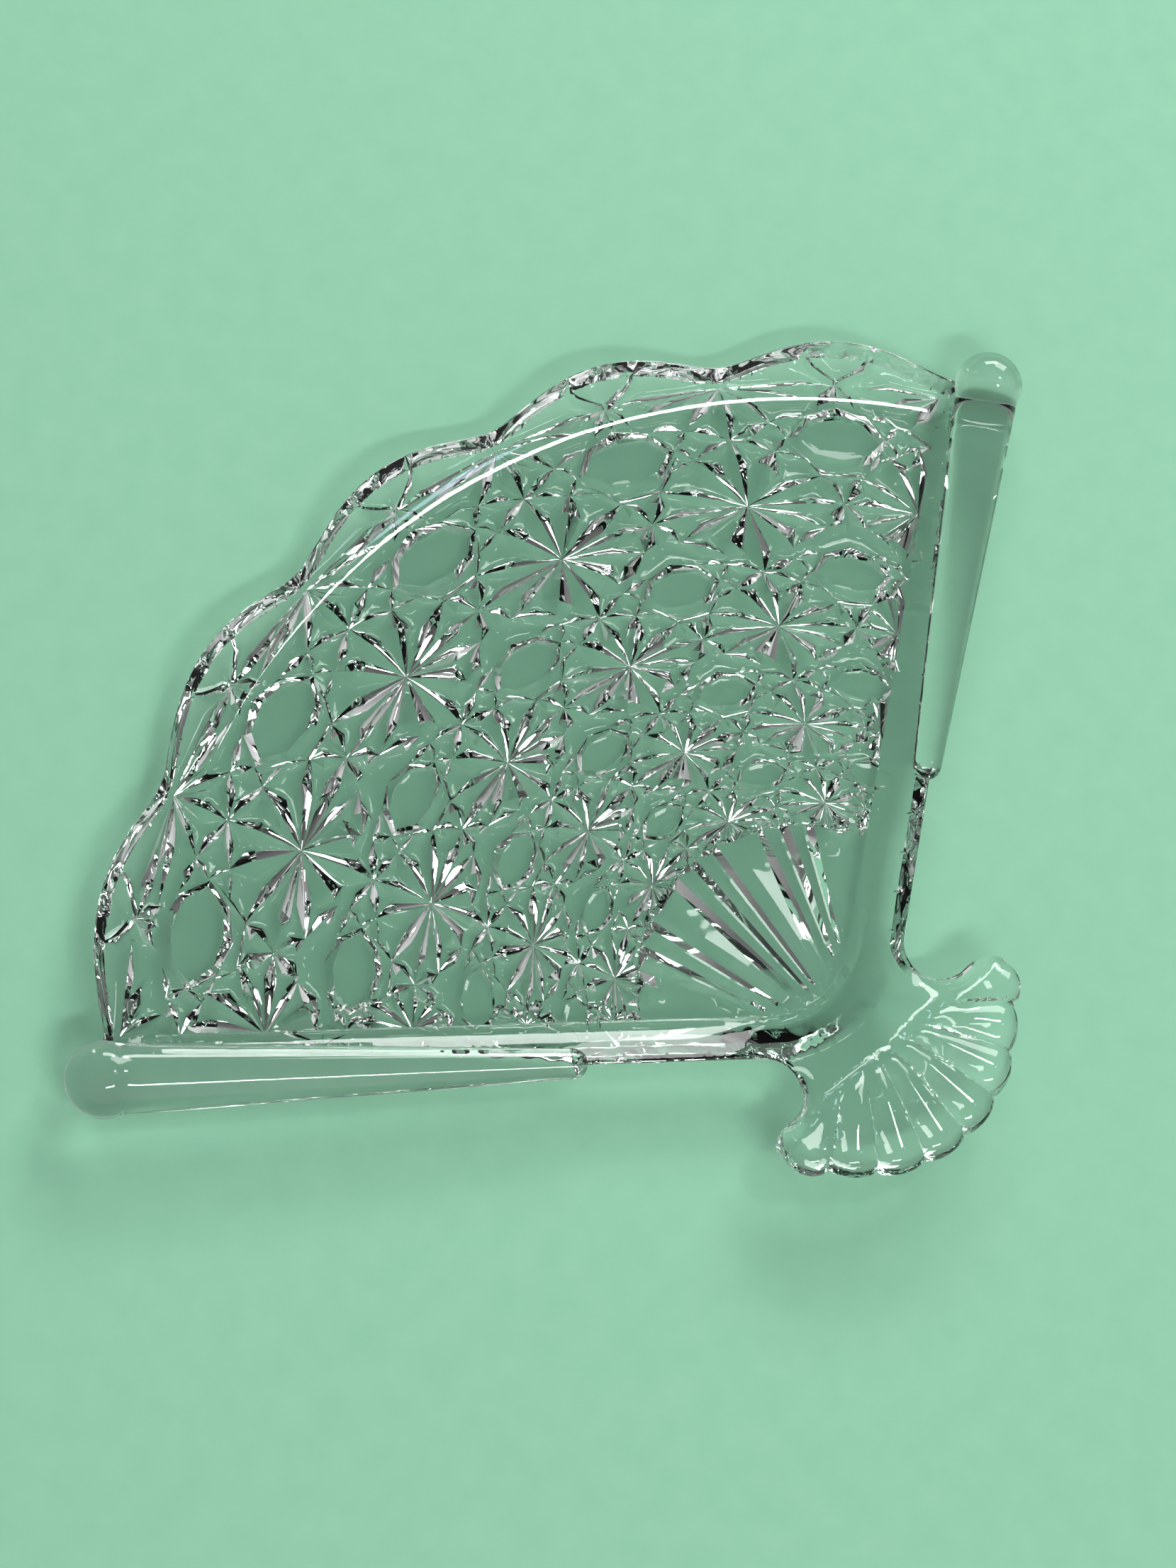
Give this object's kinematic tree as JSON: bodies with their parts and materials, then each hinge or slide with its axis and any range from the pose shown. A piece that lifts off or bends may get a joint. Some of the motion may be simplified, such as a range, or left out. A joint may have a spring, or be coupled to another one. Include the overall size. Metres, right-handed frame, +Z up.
{
  "type": "pressed glass fan dish",
  "caption": "Shallow pressed-glass dish shaped like an open hand fan, with a daisy and button underside, a scalloped rim, rounded guard bars and a fluted shell handle.",
  "frame": {"origin": "on the centre line at the flat underside of the floor, midway between the middle scallop's crest and the fan's inner tip region, at table height", "axes": "+X across the fan to its right guard bar, +Y along the centre line from the handle towards the scalloped edge, +Z up from the table"},
  "size_m": [0.2644, 0.1802, 0.0156],
  "materials": {
    "floor_glass": "clear, pressed pattern below and fire polished above",
    "wall_glass": "clear, fire polished",
    "bar_glass": "clear, fire polished",
    "handle_glass": "clear, fire polished"
  },
  "bodies": {
    "root": {"pan_floor": "floor_glass", "stick_panel": "floor_glass", "scalloped_rim": "wall_glass", "left_side_wall": "wall_glass", "right_side_wall": "wall_glass", "left_guard_bar": "bar_glass", "right_guard_bar": "bar_glass", "neck": "handle_glass", "shell_handle": "handle_glass"}
  },
  "joints": []
}
